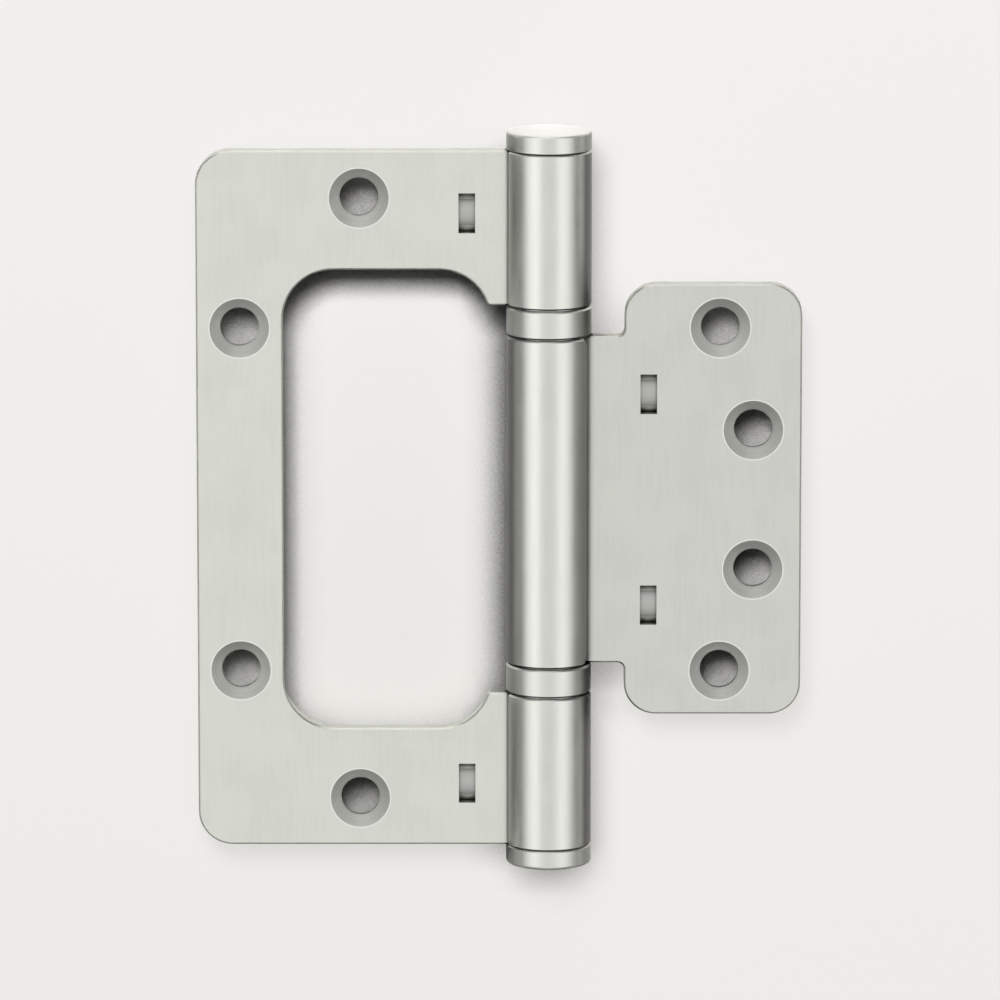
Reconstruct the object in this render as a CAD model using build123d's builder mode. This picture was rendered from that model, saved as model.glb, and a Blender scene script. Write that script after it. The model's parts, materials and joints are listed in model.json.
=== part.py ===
from build123d import *
from math import acos, degrees, sqrt
import os

# Flush hinge with two bearings, 102 mm high, laid open flat. Sizes are in millimetres.
# +Z runs up along the pin, +X towards the inner leaf, and -Y out of the countersunk faces.
# The origin is the centre of the open hinge's box, so the pin stands a little to its right.

# Sheet, barrel and pin
plate = 2.5               # thickness of both leaves
barrel_d = 12.3           # outside of the rolled knuckles
pin_fit = 0.05            # radial clearance of the pin in knuckles and races
pin_end_chamfer = 0.5
joggle_r = 2.0            # mid-line radius of the bend from leaf to knuckle
outer_seam_turn = 19.0    # degrees from the leaf's plane to the free end of the outer leaf's roll
inner_seam_turn = 28.0    # the same on the inner leaf
edge_break = 0.25         # bevel along the outlines of the leaves, their knuckles' ends and the casings
roll_corner_clip = 0.8    # corners cut off the free end of the inner leaf's roll
near = 0.01               # how closely an edge must lie to a size to be picked by it

# Outer leaf
outer_height = 102.0
outer_reach = 50.8        # pin axis to the free edge
outer_corner_r = 5.0
outer_frame = 12.5        # free edge to the window
window_near = 8.5         # pin axis to the window's edge beside the barrel
window_height = 67.4
window_corner_r = 7.3
window_step_r = 0.6       # where the window's corner meets the barrel's clearance

# Inner leaf, which folds into the window
inner_height = 63.2
inner_reach = 36.45
inner_corner_r = 4.6
neck_reach = 10.9         # pin axis to the shoulders
neck_corner_r = 1.0
neck_step = 7.6           # how much the neck and its knuckle stand back from each end of the leaf

# Screw holes, above and below the middle: distance from the leaf's free edge, and from its end
screw_d = 5.6
countersink_d = 8.6
countersink_angle = 90
outer_screws = ((23.5, 6.9), (6.25, 25.85))
inner_screws = ((11.75, 6.4), (6.95, 21.35))

# Rectangular slots pressed into the front faces, with a crowned floor: distance from the pin axis,
# and from the leaf's end
slot_width = 2.4
slot_height = 5.8
slot_crown_depth = 0.8    # at the middle of the floor
slot_end_depth = 1.9      # at its upper and lower ends
outer_slots = (11.8, 9.1)
inner_slots = (14.4, 16.1)

# Thrust ball bearings, one in each gap between knuckles
bearing_space = 4.5
casing_gap = 0.2          # above and below the casing
casing_wall = 0.5
ball_d = 1.2
ball_count = 6
ball_clearance = 0.08     # between a ball and its grooves and pockets
race_gap = 0.8            # between the two races of one bearing
race_seat = 0.02          # radial clearance of the race that is pressed into the casing
race_running = 0.1        # radial clearance of the race that turns inside the casing
cage_thickness = 0.6
cage_rim = 0.1            # cage to pin and cage to casing

# End caps
cap_height = 2.8
cap_round = 0.5
cap_chamfer = 0.2
spigot_length = 4.0
spigot_seat = 0.02        # radial clearance of the spigot in its knuckle

# Worked out from the sizes above
barrel_r = barrel_d / 2
bore_r = barrel_r - plate
half_plate = plate / 2
half_height = outer_height / 2
half_inner = inner_height / 2
half_middle = half_inner - neck_step
clear_half = half_middle + bearing_space
pin_x = (outer_reach - inner_reach) / 2
window_far = outer_reach - outer_frame
window_middle = (window_near + window_far) / 2
pin_half_length = half_height - spigot_length
roll_mid_r = barrel_r - half_plate
joggle_turn = degrees(acos(joggle_r / (joggle_r + roll_mid_r)))
joggle_x = sqrt((joggle_r + roll_mid_r) ** 2 - joggle_r ** 2)
casing_bore_r = barrel_r - casing_wall
ball_r = ball_d / 2
pocket_r = ball_r + ball_clearance
pitch_r = (bore_r + casing_bore_r) / 2
race_height = (bearing_space - race_gap) / 2
race_outer_r = {"fixed": casing_bore_r - race_seat, "turning": casing_bore_r - race_running}

pin_axis = Axis((pin_x, 0, 0), (0, 0, 1))
across = Plane(origin=(pin_x, 0, 0))
front = Plane(origin=(pin_x, -half_plate, 0), x_dir=(1, 0, 0), z_dir=(0, -1, 0))


def lengthways(height):
    """The plane of a turned part's half section: X out from the pin axis, Y up."""
    return Plane(origin=(pin_x, 0, height), x_dir=(1, 0, 0), z_dir=(0, -1, 0))


def save(builder, name):
    builder.part.label = name
    export_step(builder.part, f"parts/{name}.step")


def rolled_strip(side, reach, seam_turn):
    """Section of a leaf, on one side of the pin: flat, joggle and roll, all one bent strip."""
    roll_turn = 270 + joggle_turn - seam_turn
    with BuildSketch(across) as section:
        with BuildLine():
            back = Line((side * reach, half_plate), (side * joggle_x, half_plate))
            joggle = JernArc(back @ 1, back % 1, joggle_r - half_plate, -side * joggle_turn)
            roll = JernArc(joggle @ 1, joggle % 1, barrel_r, side * roll_turn)
            free_end = Line(roll @ 1, (roll @ 1) * bore_r / barrel_r)
            bore = JernArc(free_end @ 1, -(roll % 1), bore_r, -side * roll_turn)
            inside = JernArc(bore @ 1, bore % 1, joggle_r + half_plate, side * joggle_turn)
            Polyline(inside @ 1, (side * reach, -half_plate), back @ 0)
        make_face()
    return section.sketch


def both_ways(side, reach, half, rows):
    """Points on the front face, above and below the middle, from each row's distances to edge and end."""
    return [(side * (reach - inset), way * (half - end)) for inset, end in rows for way in (1, -1)]


def slot_cut(side, half_leaf, reach, end):
    """Sections, across the leaf, of its two pressed slots: open at the front, crowned at the floor."""
    wall = Plane(origin=(pin_x + side * reach, -half_plate, 0), x_dir=(0, 0, 1), z_dir=(-1, 0, 0))
    half = slot_height / 2
    level = half_leaf - end
    with BuildSketch(wall) as section:
        with Locations((level, 0), (-level, 0)):
            with BuildSketch(mode=Mode.PRIVATE) as one:
                with BuildLine():
                    floor = ThreePointArc(
                        (-half, slot_end_depth), (0, slot_crown_depth), (half, slot_end_depth)
                    )
                    Polyline(floor @ 1, (half, 0), (-half, 0), floor @ 0)
                make_face()
            add(one.sketch)
    return section.sketch


def sheet_edges(leaf):
    """The outline edges of a leaf's two flat faces, and those round the ends of its knuckles."""
    outline = leaf.faces().filter_by(Axis.Y).filter_by(GeomType.PLANE).edges()
    bend_lines = outline.filter_by(lambda edge: abs(abs(edge.center().X - pin_x) - joggle_x) < near)
    rims = leaf.edges().filter_by(GeomType.CIRCLE).filter_by(lambda edge: abs(edge.radius - barrel_r) < near)
    return outline - bend_lines + rims


os.makedirs("parts", exist_ok=True)

# Outer leaf: one bent plate with a window, and a knuckle rolled at each end
with BuildPart() as outer_leaf:
    extrude(rolled_strip(-1, outer_reach, outer_seam_turn), amount=half_height, both=True)
    with BuildSketch(front):
        with Locations((-window_middle, 0)):
            RectangleRounded(window_far - window_near, window_height, window_corner_r)
        with Locations((-window_middle, 0)):
            Rectangle(window_middle + barrel_d, 2 * clear_half, align=(Align.MIN, Align.CENTER))
    extrude(amount=barrel_d, both=True, mode=Mode.SUBTRACT)
    upright = outer_leaf.edges().filter_by(Axis.Y).group_by(Axis.X)
    fillet(upright[0], outer_corner_r)
    fillet(upright[-1], window_step_r)
    chamfer(sheet_edges(outer_leaf), edge_break)
    with Locations(front):
        with Locations(*both_ways(-1, outer_reach, half_height, outer_screws)):
            CounterSinkHole(screw_d / 2, countersink_d / 2, barrel_d, countersink_angle)
    extrude(slot_cut(-1, half_height, *outer_slots), amount=slot_width / 2, both=True, mode=Mode.SUBTRACT)
save(outer_leaf, "outer_leaf")

# Inner leaf: a wide plate, a narrower neck and the middle knuckle
with BuildPart() as inner_leaf:
    extrude(rolled_strip(1, inner_reach, inner_seam_turn), amount=half_inner, both=True)
    with BuildSketch(front):
        with Locations((neck_reach, 0)):
            Rectangle(neck_reach + barrel_d, 2 * inner_height, align=(Align.MAX, Align.CENTER))
            Rectangle(
                neck_reach + barrel_d,
                2 * half_middle,
                align=(Align.MAX, Align.CENTER),
                mode=Mode.SUBTRACT,
            )
    extrude(amount=barrel_d, both=True, mode=Mode.SUBTRACT)
    upright = inner_leaf.edges().filter_by(Axis.Y)
    fillet(upright.filter_by_position(Axis.Z, -half_middle, half_middle), neck_corner_r)
    fillet(upright.filter_by_position(Axis.Z, half_middle, inner_height), inner_corner_r)
    fillet(upright.filter_by_position(Axis.Z, -inner_height, -half_middle), inner_corner_r)
    on_free_end = pin_axis.position + Vector(roll_mid_r, 0, 0).rotate(Axis.Z, -inner_seam_turn)
    free_end = inner_leaf.faces().sort_by_distance(on_free_end)[0]
    chamfer(free_end.edges().filter_by(Plane.XY), roll_corner_clip)
    chamfer(sheet_edges(inner_leaf), edge_break)
    with Locations(front):
        with Locations(*both_ways(1, inner_reach, half_inner, inner_screws)):
            CounterSinkHole(screw_d / 2, countersink_d / 2, barrel_d, countersink_angle)
    extrude(slot_cut(1, half_inner, *inner_slots), amount=slot_width / 2, both=True, mode=Mode.SUBTRACT)
save(inner_leaf, "inner_leaf")

# Hinge pin, between the spigots of the two caps
with BuildPart() as hinge_pin:
    with BuildSketch(across):
        Circle(bore_r - pin_fit)
    extrude(amount=pin_half_length, both=True)
    chamfer(hinge_pin.edges().filter_by(GeomType.CIRCLE), pin_end_chamfer)
save(hinge_pin, "hinge_pin")

# End caps, whose spigots close the ends of the outer knuckles
for name, up in (("top_cap", 1), ("bottom_cap", -1)):
    seat = Plane(origin=(pin_x, 0, up * half_height), z_dir=(0, 0, up))
    with BuildPart() as cap:
        with BuildSketch(seat):
            Circle(barrel_r)
        extrude(amount=cap_height)
        rims = cap.edges().filter_by(GeomType.CIRCLE).sort_by(Axis(seat.origin, seat.z_dir))
        chamfer(rims[0], cap_chamfer)
        fillet(rims[-1], cap_round)
        with BuildSketch(seat):
            Circle(bore_r - spigot_seat)
        extrude(amount=-spigot_length)
    save(cap, name)

# Thrust bearings. In each, the race beside the outer leaf's knuckle is pressed into the casing,
# and the race beside the middle knuckle turns in it. The balls run in V grooves.
for place, up in (("upper", 1), ("lower", -1)):
    level = up * (half_middle + bearing_space / 2)
    with BuildPart() as casing:
        with BuildSketch(across.offset(level)):
            Circle(barrel_r)
            Circle(casing_bore_r, mode=Mode.SUBTRACT)
        extrude(amount=bearing_space / 2 - casing_gap, both=True)
        outside = casing.faces().filter_by(GeomType.CYLINDER).sort_by(SortBy.AREA)[-1]
        chamfer(outside.edges().filter_by(GeomType.CIRCLE), edge_break)
    save(casing, f"{place}_bearing_casing")

    for kind, way in (("fixed", up), ("turning", -up)):
        with BuildPart() as race:
            with BuildSketch(lengthways(level)):
                with Locations((bore_r, way * race_gap / 2)):
                    Rectangle(
                        race_outer_r[kind] - bore_r,
                        race_height,
                        align=(Align.MIN, Align.MIN if way > 0 else Align.MAX),
                    )
                with Locations((pitch_r, 0)):
                    RegularPolygon(pocket_r, 4, major_radius=False, mode=Mode.SUBTRACT)
            revolve(axis=pin_axis)
        save(race, f"{place}_bearing_{kind}_race")

    with BuildPart() as cage:
        with BuildSketch(across.offset(level)):
            Circle(casing_bore_r - cage_rim)
            Circle(bore_r + cage_rim, mode=Mode.SUBTRACT)
            with PolarLocations(pitch_r, ball_count):
                Circle(pocket_r, mode=Mode.SUBTRACT)
        extrude(amount=cage_thickness / 2, both=True)
    save(cage, f"{place}_bearing_cage")

    with BuildPart(across.offset(level)) as balls:
        with PolarLocations(pitch_r, ball_count):
            Sphere(ball_r)
    for number, ball in enumerate(balls.solids(), start=1):
        ball.label = f"{place}_bearing_ball_{number}"
        export_step(ball, f"parts/{ball.label}.step")
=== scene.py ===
import json
from math import cos, pi, radians, sin

import bpy
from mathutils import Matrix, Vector


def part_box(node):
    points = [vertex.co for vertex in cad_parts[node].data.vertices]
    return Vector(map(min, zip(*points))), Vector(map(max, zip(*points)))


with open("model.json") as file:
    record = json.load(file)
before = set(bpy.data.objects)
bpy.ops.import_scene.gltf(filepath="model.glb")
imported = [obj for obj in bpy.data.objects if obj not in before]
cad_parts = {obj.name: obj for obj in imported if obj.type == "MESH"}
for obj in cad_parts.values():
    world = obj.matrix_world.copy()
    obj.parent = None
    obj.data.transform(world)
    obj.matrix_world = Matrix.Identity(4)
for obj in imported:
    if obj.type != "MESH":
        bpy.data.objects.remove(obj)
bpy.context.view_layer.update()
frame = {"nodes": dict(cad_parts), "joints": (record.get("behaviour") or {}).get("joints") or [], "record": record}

# A stainless steel flush hinge in front of a pale wall, in metres
MM = 0.001

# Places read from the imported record, and from the casing that is as wide as the barrel
swing = next(joint for joint in frame["joints"] if joint["name"] == "leaf_swing")
pin_x = swing["pos_m"][0]
mounts = {mount["name"]: mount for mount in frame["record"]["mounts"]}
plate_back = mounts["outer_leaf_back"]["pos_m"][1]
casing_low, casing_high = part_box("upper_bearing_casing")
barrel_r = (casing_high[0] - casing_low[0]) / 2

# Machined details that the record doesn't hold. A slot's place is x, and height above and below the middle.
countersink_r = 4.3 * MM
slot_half_width = 1.25 * MM
slot_half_height = 2.95 * MM
outer_slot = (pin_x - 11.8 * MM, 41.9 * MM)
inner_slot = (pin_x + 14.4 * MM, 15.5 * MM)
bare_level = 52.5 * MM           # beyond it are the caps' bare ends; all other ends lie in the joints

# Camera: a long lens, a little above the hinge, square to the leaves
camera_distance = 1.35
camera_elevation = 11.0
view_width = 144.5 * MM
look_at = Vector((0.14 * MM, 0, -0.25 * MM))
sensor_width = 36.0

# Wall just behind the barrel, with its paint at the bottom and the top of the picture
wall_gap = 0.3 * MM
wall_half_size = 1.2
background_top = (0.885, 0.87, 0.855, 1)
background_bottom = (0.865, 0.85, 0.82, 1)

# Contact shadow painted on the wall: how far off the hinge still counts, and the way that its sky lies, in degrees
# from the front and above it
contact_reach = 8.3 * MM
contact_side = (-10, 60)
contact_samples = 8

# Painted shadows beside the hinge and behind its openings: the open share at which the painted contact shadow
# begins and is full, its depth, and the share of the wall lamp's own shadow
beside = (0.85, 0.45, 0.70, 0.13)
behind = (0.92, 0.70, 1.0, 1.0)

# Parts of the wall that are seen through the openings of each leaf: from x, to x, half height
openings = (
    (pin_x - 48.5 * MM, pin_x - 3 * MM, 49 * MM),
    (pin_x + 20.5 * MM, pin_x + 33.5 * MM, 30.5 * MM),
)
opening_blur = 1 * MM
share_at_barrel = 0.78           # of the openings' shadow, close to the barrel
square_on, askew = 0.15, 0.5     # facing value up to which that shadow is whole, and from which it is gone
# painted light: the wall's lit colour is scaled by this from left to right of the barrel
lit_gain = (1.0, 1.065)          # evens out the wall lamp's level left and right of the barrel

# Studio: degrees from the front and above it, distance, width, height, brightness
softboxes = {
    "left_softbox": (-48.0, 8.0, 1.0, 0.86, 1.3, 0.89),
    "right_softbox": (48.0, 4.0, 1.0, 0.86, 1.3, 0.72),
    "top_softbox": (-15.0, 69.0, 1.3, 1.1, 0.8, 1.35),
}
wall_lamp = (-8.0, 29.0, 1.3, 0.45, 0.45, 27.6)
front_glow = 0.91
side_gloom = 0.06
gloom_edge, glow_edge = 0.25, 0.85
glow_on_matt = 0.05              # share of the world's light that matt surfaces get

# Steel colours, with the painted shade, shadow and highlights on the steel
outer_leaf_steel = (0.71, 0.72, 0.66, 1)
inner_leaf_steel = (0.65, 0.655, 0.605, 1)
barrel_steel = (0.66, 0.665, 0.62, 1)
ground_steel = (0.60, 0.60, 0.585, 1)
ball_steel = (0.78, 0.78, 0.77, 1)
# painted highlight on the top cap's upward face
cap_top_highlight = (0.93, 0.93, 0.91, 1)
cut_dark = (0.52, 0.525, 0.495, 1)
cut_pale = (0.65, 0.655, 0.62, 1)
# painted highlight on the countersinks' rims
rim_highlight = (0.86, 0.86, 0.83, 1)
# painted shade on the slot floors and their lower ends, and a painted shadow at their upper ends
slot_floor_shade = (0.47, 0.475, 0.445, 1)
slot_lower_shade = (0.42, 0.42, 0.395, 1)
slot_upper_shadow = (0.05, 0.05, 0.046, 1)
# painted shade and grime in crevices
grime_and_shade = (0.05, 0.05, 0.04, 1)
# dark joints, and painted shade on the barrel's bevels that face down
joint_dark_and_shade = (0.07, 0.07, 0.065, 1)
# painted shade on flanks turned away from the viewer
flank_shade = (0.02, 0.02, 0.018, 1)
black = (0, 0, 0, 1)
white = (1, 1, 1, 1)

# Steel finishes; the scales are per metre
leaf_roughness = 0.38
turned_roughness = 0.40
ground_roughness = 0.22
polished_roughness = 0.10
cut_roughness = 0.62
roughness_spread = 0.12
mottle_scale = 160.0
mottle_share = 0.6               # of the shade; the grain has the rest
mottle_shade = 0.955             # of the colour, in the darker patches
speckle_scale = 3200.0
grain_scale = (2200.0, 2200.0, 160.0)
ring_scale = 9000.0
relief_depth = 0.006 * MM
relief_strength = 0.3
speckle_relief = 0.5             # of the plain relief; the grain has the rest
ring_relief = 2.0
# reach and samples of the painted crevice shade and grime
crevice_reach = 1.0 * MM
crevice_samples = 4
# depth of the painted flank shade
flank_shade_depth = 0.58
leaf_side_shade = 0.3         # less by this where a leaf joins its knuckle, and more on the other side

# Widths at the edges of finishes, painted shade and painted highlights
roll_margin, roll_blur = 0.1 * MM, 0.2 * MM
cone_blur = 0.03 * MM
# widths of the painted highlight on the countersinks' rims
highlight_start, highlight_fade, highlight_end = 0.02 * MM, 0.1 * MM, 0.2 * MM
back_margin = 0.05 * MM          # of the plate's back, which the cones' finish stays off
floor_high, floor_low = -0.45 * MM, 0.4 * MM

# Values between which a finish, painted shade or painted highlight goes from none to all: of a noise, of the open
# share of the sky, of facing, where 1 is edge-on, and of the upright part of the normal, where 1 faces up
patches_fade = (0.35, 0.6)
rings_fade = (0.3, 0.7)
# for the painted crevice shade and grime
crevice_fade = (0.05, 0.6)
glancing_fade = (0.24, 0.52)
not_upward_fade = (0.6, 0.2)
upward_fade = (0.6, 0.9)
level_fade = (0.85, 0.97)
downward_fade = (-0.25, -0.6)


class Tree:
    """A node tree with short calls for adding and linking nodes."""

    def __init__(self, owner):
        owner.use_nodes = True
        self.nodes = owner.node_tree.nodes
        self.links = owner.node_tree.links
        self.nodes.clear()

    def add(self, kind, inputs=None, **settings):
        node = self.nodes.new("ShaderNode" + kind)
        for name, value in settings.items():
            setattr(node, name, value)
        for name, value in (inputs or {}).items():
            self.put(value, node.inputs[name])
        return node

    def put(self, value, socket):
        if isinstance(value, bpy.types.NodeSocket):
            self.links.new(value, socket)
        else:
            socket.default_value = value

    def math(self, operation, *values, clamp=False):
        node = self.add("Math", operation=operation, use_clamp=clamp)
        for socket, value in zip(node.inputs, values):
            self.put(value, socket)
        return node.outputs[0]

    def shares(self, share, first, second):
        """A share of the first value, and the rest of the second."""
        return self.math("ADD", self.math("MULTIPLY", first, share), self.math("MULTIPLY", second, 1 - share))

    def distance(self, across, up):
        """The length of a way across and up."""
        squares = [self.math("MULTIPLY", way, way) for way in (across, up)]
        return self.math("SQRT", self.math("ADD", *squares))

    def in_box(self, across, half_width, up, half_height):
        """How far inside the edges of a box around nought this place lies, below nought outside it."""
        return self.math("MINIMUM", self.math("SUBTRACT", half_width, self.math("ABSOLUTE", across)),
                         self.math("SUBTRACT", half_height, self.math("ABSOLUTE", up)))

    def ramp(self, value, low, high, to_low=0.0, to_high=1.0):
        """value between low and high, mapped smoothly onto to_low and to_high."""
        node = self.add("MapRange", interpolation_type="SMOOTHSTEP")
        for name, number in (("Value", value), ("From Min", low), ("From Max", high),
                             ("To Min", to_low), ("To Max", to_high)):
            self.put(number, node.inputs[name])
        return node.outputs[0]

    def mix(self, factor, first, second):
        node = self.add("Mix", data_type="RGBA")
        for index, value in ((0, factor), (6, first), (7, second)):
            self.put(value, node.inputs[index])
        return node.outputs[2]

    def blend(self, factor, first, second):
        """One shader over another, in that share."""
        node = self.add("MixShader")
        for index, value in ((0, factor), (1, first.outputs[0]), (2, second.outputs[0])):
            self.put(value, node.inputs[index])
        return node

    def noise(self, place, scale, detail=2.0):
        return self.add("TexNoise", {"Vector": place, "Scale": scale, "Detail": detail}).outputs[0]

    def axes(self, vector):
        return self.add("SeparateXYZ", {"Vector": vector}).outputs

    def facing(self):
        return self.add("LayerWeight", {"Blend": 0.5}).outputs["Facing"]


def direction(azimuth, elevation):
    """The unit vector from the hinge, azimuth degrees to the right of the front and elevation degrees up."""
    level = cos(radians(elevation))
    return Vector((level * sin(radians(azimuth)), -level * cos(radians(azimuth)), sin(radians(elevation))))


def place_facing(name, data, place, target):
    thing = bpy.data.objects.new(name, data)
    thing.location = place
    thing.rotation_euler = (Vector(place) - target).to_track_quat("Z", "Y").to_euler()
    bpy.context.collection.objects.link(thing)
    return thing


def add_camera():
    data = bpy.data.cameras.new("camera")
    data.sensor_width = sensor_width
    data.lens = sensor_width * camera_distance / view_width
    place = look_at + camera_distance * direction(0, camera_elevation)
    bpy.context.scene.camera = place_facing("camera", data, place, look_at)


def add_lamp(name, azimuth, elevation, distance, width, height, brightness):
    data = bpy.data.lights.new(name, "AREA")
    data.shape = "RECTANGLE"
    data.size = width
    data.size_y = height
    data.energy = brightness * pi * width * height
    return place_facing(name, data, distance * direction(azimuth, elevation), Vector())


def add_lamps():
    """Softboxes for the steel, the same in front and behind, and one lamp for the wall alone."""
    for name, (azimuth, *rest) in softboxes.items():
        for side, turn in (("front", 0), ("behind", 180)):
            add_lamp(name + "_" + side, azimuth + turn, *rest).visible_diffuse = False
    add_lamp("wall_lamp", *wall_lamp).visible_glossy = False


def behind_openings(tree, x, z):
    """Where the deeper painted contact shadow goes: 1 where the wall shows through the window and screw holes,
    less close to the barrel and seen askew.
    """
    insides = []
    for low, high, half_height in openings:
        across = tree.math("SUBTRACT", x, (low + high) / 2)
        insides.append(tree.in_box(across, (high - low) / 2, z, half_height))
    inside = tree.ramp(tree.math("MAXIMUM", *insides), 0.0, opening_blur)
    off_barrel = tree.math("ABSOLUTE", tree.math("SUBTRACT", x, pin_x))
    away = tree.ramp(off_barrel, barrel_r + opening_blur, 2 * barrel_r, share_at_barrel, 1.0)
    straight = tree.ramp(tree.facing(), square_on, askew, 1.0, 0.0)
    return tree.math("MULTIPLY", inside, tree.math("MULTIPLY", away, straight))


def wall_paint():
    """Plain paint for the camera beside the hinge, darkened by a painted contact shadow; behind the openings,
    paint in the wall lamp's light with a deeper painted contact shadow.
    """
    material = bpy.data.materials.new("backdrop")
    tree = Tree(material)
    place = tree.axes(tree.add("TexCoord").outputs["Object"])
    height = tree.ramp(place["Z"], -view_width / 2, view_width / 2)
    paint = tree.mix(height, background_bottom, background_top)
    light_side = tree.add("Normal")
    light_side.outputs[0].default_value = direction(*contact_side)
    around = {"Distance": contact_reach, "Normal": light_side.outputs[0]}
    open_sky = tree.add("AmbientOcclusion", around, samples=contact_samples).outputs["AO"]
    inside = behind_openings(tree, place["X"], place["Z"])
    # painted contact shadow: the paint is darkened towards black where the hinge is close
    painted_shadows = (tree.ramp(open_sky, start, full, 0.0, depth) for start, full, depth, _ in (beside, behind))
    colour = tree.mix(tree.ramp(inside, 0.0, 1.0, *painted_shadows), paint, black)
    plain = tree.ramp(inside, 0.0, 1.0, 1 - beside[-1], 1 - behind[-1])
    # painted light: the lit colour brightened right of the barrel to even out the wall lamp
    gain = tree.ramp(place["X"], pin_x - barrel_r, pin_x + 2 * barrel_r, *lit_gain)
    evened = tree.add("VectorMath", {"Vector": colour, "Scale": gain}, operation="SCALE").outputs[0]
    rays = tree.add("LightPath").outputs
    seen = tree.add("Emission", {"Color": colour, "Strength": 1.0})
    lit = tree.add("BsdfDiffuse", {"Color": evened})
    front = tree.blend(tree.math("MULTIPLY", rays["Is Camera Ray"], plain), lit, seen)
    back_facing = tree.add("NewGeometry").outputs["Backfacing"]
    from_behind = tree.math("ADD", back_facing, rays["Transparent Depth"], clamp=True)
    shown = tree.blend(from_behind, front, tree.add("BsdfTransparent"))
    tree.add("OutputMaterial", {"Surface": shown.outputs[0]})
    return material


def add_wall():
    """A pale wall just behind the barrel, which is there only for who looks from the front."""
    y = barrel_r + wall_gap
    half = wall_half_size
    mesh = bpy.data.meshes.new("backdrop")
    corners = [(-half, y, -half), (half, y, -half), (half, y, half), (-half, y, half)]
    mesh.from_pydata(corners, [], [(0, 1, 2, 3)])
    mesh.materials.append(wall_paint())
    wall = bpy.data.objects.new("backdrop", mesh)
    bpy.context.collection.objects.link(wall)


def add_world():
    """Pale where the camera looks past the wall; as a light, bright in front and behind, dim at the sides."""
    world = bpy.data.worlds.new("studio")
    bpy.context.scene.world = world
    tree = Tree(world)
    looking = tree.axes(tree.add("TexCoord").outputs["Generated"])
    ahead = tree.ramp(tree.math("ABSOLUTE", looking["Y"]), gloom_edge, glow_edge, side_gloom, front_glow)
    rays = tree.add("LightPath").outputs
    direct = tree.math("MAXIMUM", rays["Is Camera Ray"], rays["Is Transmission Ray"])
    ahead = tree.math("MULTIPLY", ahead, tree.ramp(rays["Is Diffuse Ray"], 0.0, 1.0, 1.0, glow_on_matt))
    light = tree.add("Background", {"Color": white, "Strength": ahead})
    seen = tree.add("Background", {"Color": background_top, "Strength": 1.0})
    tree.add("OutputWorld", {"Surface": tree.blend(direct, light, seen).outputs[0]})


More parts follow.
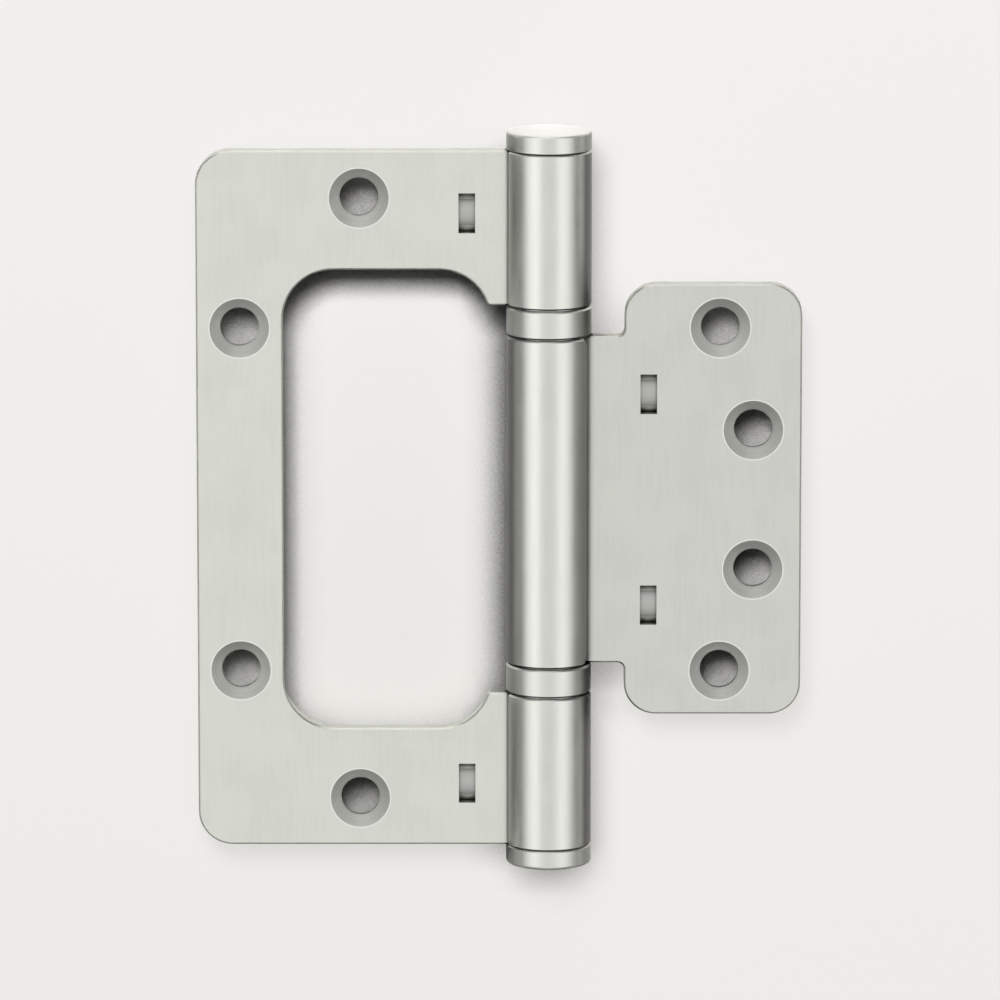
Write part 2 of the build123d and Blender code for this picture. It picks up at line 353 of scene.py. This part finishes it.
class Steel:
    """Steel with faint mottling and fine grain along the pin, to which other finishes, painted shade and painted
    highlights are added in turn.
    """

    def __init__(self, name, colour, roughness, seed):
        self.material = bpy.data.materials.new(name)
        self.tree = tree = Tree(self.material)
        self.place = tree.add("TexCoord").outputs["Object"]
        self.axes = tree.axes(self.place)
        self.upright = tree.axes(tree.add("NewGeometry").outputs["Normal"])["Z"]
        apart = tree.add("Mapping", {"Vector": self.place, "Location": (seed, seed, seed)}).outputs[0]
        along = tree.add("Mapping", {"Vector": apart, "Scale": grain_scale}).outputs[0]
        mottle = tree.noise(apart, mottle_scale, 4.0)
        speckle = tree.noise(apart, speckle_scale)
        grain = tree.noise(along, 1.0, 3.0)
        shade = tree.shares(mottle_share, mottle, grain)
        self.patches = tree.ramp(shade, *patches_fade)
        self.tint = self.mottled(colour)
        self.relief = tree.shares(speckle_relief, speckle, grain)
        self.rough = tree.math("MULTIPLY_ADD", mottle, roughness_spread, roughness - roughness_spread / 2)
        self.in_barrel = 0.0
        self.unshaded = 0.0

    def mottled(self, colour):
        darker = (*(mottle_shade * channel for channel in colour[:3]), 1)
        return self.tree.mix(self.patches, darker, colour)

    def paint(self, where, colour):
        self.tint = self.tree.mix(where, self.tint, colour)

    def roll(self):
        """The barrel's steel where the plate is rolled round the pin."""
        tree = self.tree
        off_pin = tree.distance(tree.math("SUBTRACT", self.axes["X"], pin_x), self.axes["Y"])
        edge = barrel_r + roll_margin
        self.in_barrel = tree.ramp(off_pin, edge + roll_blur, edge)
        self.paint(self.in_barrel, self.mottled(barrel_steel))

    def countersink(self, holes):
        """Turned cones with a painted highlight along their rim, in the front of the plate."""
        tree = self.tree
        gaps = []
        for x, z in holes:
            across = tree.math("SUBTRACT", self.axes["X"], x)
            up = tree.math("SUBTRACT", tree.math("ABSOLUTE", self.axes["Z"]), z)
            gaps.append(tree.distance(across, up))
        gap = tree.math("MINIMUM", *gaps)
        in_front = tree.math("LESS_THAN", self.axes["Y"], plate_back - back_margin)
        cone = tree.ramp(gap, countersink_r + cone_blur, countersink_r - cone_blur)
        cone = tree.math("MULTIPLY", in_front, cone)
        along_cone = {"W": tree.math("MULTIPLY", gap, ring_scale), "Scale": 1.0, "Detail": 2.0}
        rings = tree.add("TexNoise", along_cone, noise_dimensions="1D").outputs[0]
        self.paint(cone, tree.mix(tree.ramp(rings, *rings_fade), cut_dark, cut_pale))
        # painted highlight: a thin bright ring just outside each cone
        highlit_rim = tree.math("MULTIPLY", tree.ramp(gap, countersink_r - highlight_start, countersink_r + cone_blur),
                        tree.ramp(gap, countersink_r + highlight_end, countersink_r + highlight_fade))
        self.paint(tree.math("MULTIPLY", highlit_rim, in_front), rim_highlight)
        self.rough = tree.math("MAXIMUM", self.rough, tree.math("MULTIPLY", cone, cut_roughness))
        turned = tree.math("MULTIPLY", tree.math("MULTIPLY", cone, rings), ring_relief)
        self.relief = tree.math("ADD", self.relief, turned)
        self.unshaded = cone

    def press_slots(self, slot_x, slot_z):
        """Floors of the pressed slots in painted shade, darker towards their ends, with a near-black painted
        shadow at the upper one.
        """
        tree = self.tree
        across = tree.math("SUBTRACT", self.axes["X"], slot_x)
        middle = tree.math("MULTIPLY", tree.math("SIGN", self.axes["Z"]), slot_z)
        up = tree.math("SUBTRACT", self.axes["Z"], middle)
        within = tree.in_box(across, slot_half_width, up, slot_half_height)
        deep = tree.math("MINIMUM", tree.math("ADD", self.axes["Y"], plate_back),
                         tree.math("SUBTRACT", 0.0, self.axes["Y"]))
        pressed = tree.math("GREATER_THAN", tree.math("MINIMUM", within, deep), 0.0)
        raised = tree.ramp(up, -slot_half_height, slot_half_height)
        end_shades = tree.mix(raised, slot_lower_shade, slot_upper_shadow)
        self.paint(pressed, tree.mix(tree.ramp(self.axes["Y"], floor_high, floor_low), slot_floor_shade, end_shades))

    def darken_crevices(self):
        """Painted shade and grime: dark where other steel is close by."""
        around = self.tree.add("AmbientOcclusion", {"Distance": crevice_reach}, samples=crevice_samples)
        self.tint = self.tree.mix(self.tree.ramp(around.outputs["AO"], *crevice_fade), grime_and_shade, self.tint)

    def highlight_cap_top(self):
        """Painted highlight on the upward face of the top cap's end; what lies nearer the middle is in the barrel.
        """
        tree = self.tree
        self.in_barrel = tree.math("LESS_THAN", tree.math("ABSOLUTE", self.axes["Z"]), bare_level)
        bare = tree.math("SUBTRACT", 1.0, self.in_barrel)
        self.paint(tree.math("MULTIPLY", tree.ramp(self.upright, *upward_fade), bare), cap_top_highlight)

    def darken_joints_and_shade_bevels(self):
        """Dark level ends where one piece of the barrel stands on the next, and painted shade on the bevels that
        face down.
        """
        tree = self.tree
        facing_down = tree.ramp(self.upright, *downward_fade)
        level = tree.ramp(self.upright, *level_fade)
        self.paint(tree.math("MULTIPLY", self.in_barrel, tree.math("MAXIMUM", facing_down, level)), joint_dark_and_shade)

    def shade_flanks(self, leaf_side):
        """Painted shade where a surface turns away from the viewer, except in the cones and on what faces up."""
        tree = self.tree
        glancing = tree.ramp(tree.facing(), *glancing_fade)
        glancing = tree.math("MULTIPLY", glancing, tree.ramp(self.upright, *not_upward_fade))
        glancing = tree.math("MULTIPLY", glancing, tree.math("SUBTRACT", 1.0, self.unshaded))
        sideways = tree.axes(tree.add("TexCoord").outputs["Normal"])["X"]
        shading = tree.math("MULTIPLY_ADD", sideways, -leaf_side_shade * leaf_side, flank_shade_depth)
        self.paint(glancing, tree.mix(shading, self.tint, flank_shade))

    def finished(self):
        tree = self.tree
        uneven = {"Strength": relief_strength, "Distance": relief_depth, "Height": self.relief}
        bump = tree.add("Bump", uneven)
        surface = tree.add("BsdfPrincipled", {
            "Base Color": self.tint, "Metallic": 1.0, "Roughness": self.rough, "Normal": bump.outputs[0]})
        tree.add("OutputMaterial", {"Surface": surface.outputs[0]})
        return self.material


def screw_places(leaf):
    """Of each of the leaf's two rows of screws: x, and height above and below the middle."""
    rows = [mount for name, mount in mounts.items() if name.startswith(leaf) and name.endswith("screws")]
    return [(row["pos_m"][0], row["dims"]["spacing_y_mm"] / 2 * MM) for row in rows]


def leaf_satin(leaf, colour, seed, slot, leaf_side):
    """leaf_side is -1 for the leaf to the left of the pin and 1 for the one to the right."""
    steel = Steel(leaf + "_satin", colour, leaf_roughness, seed)
    steel.roll()
    steel.countersink(screw_places(leaf))
    steel.press_slots(*slot)
    steel.darken_crevices()
    steel.darken_joints_and_shade_bevels()
    steel.shade_flanks(leaf_side)
    return steel.finished()


def turned_satin():
    steel = Steel("turned_satin", barrel_steel, turned_roughness, 3.0)
    steel.darken_crevices()
    steel.highlight_cap_top()
    steel.darken_joints_and_shade_bevels()
    steel.shade_flanks(0)
    return steel.finished()


def inner_steel(name, colour, roughness, seed):
    steel = Steel(name, colour, roughness, seed)
    steel.darken_crevices()
    steel.shade_flanks(0)
    return steel.finished()


def dress(material, *parts):
    for name, node in frame["nodes"].items():
        if any(part in name for part in parts):
            node.data.materials.clear()
            node.data.materials.append(material)


dress(leaf_satin("outer_leaf", outer_leaf_steel, 1.0, outer_slot, -1), "outer_leaf")
dress(leaf_satin("inner_leaf", inner_leaf_steel, 2.0, inner_slot, 1), "inner_leaf")
dress(turned_satin(), "cap", "casing")
dress(inner_steel("ground", ground_steel, ground_roughness, 4.0), "pin", "race", "cage")
dress(inner_steel("polished", ball_steel, polished_roughness, 5.0), "ball")

bpy.context.scene.view_settings.view_transform = "Standard"
add_wall()
add_world()
add_lamps()
add_camera()
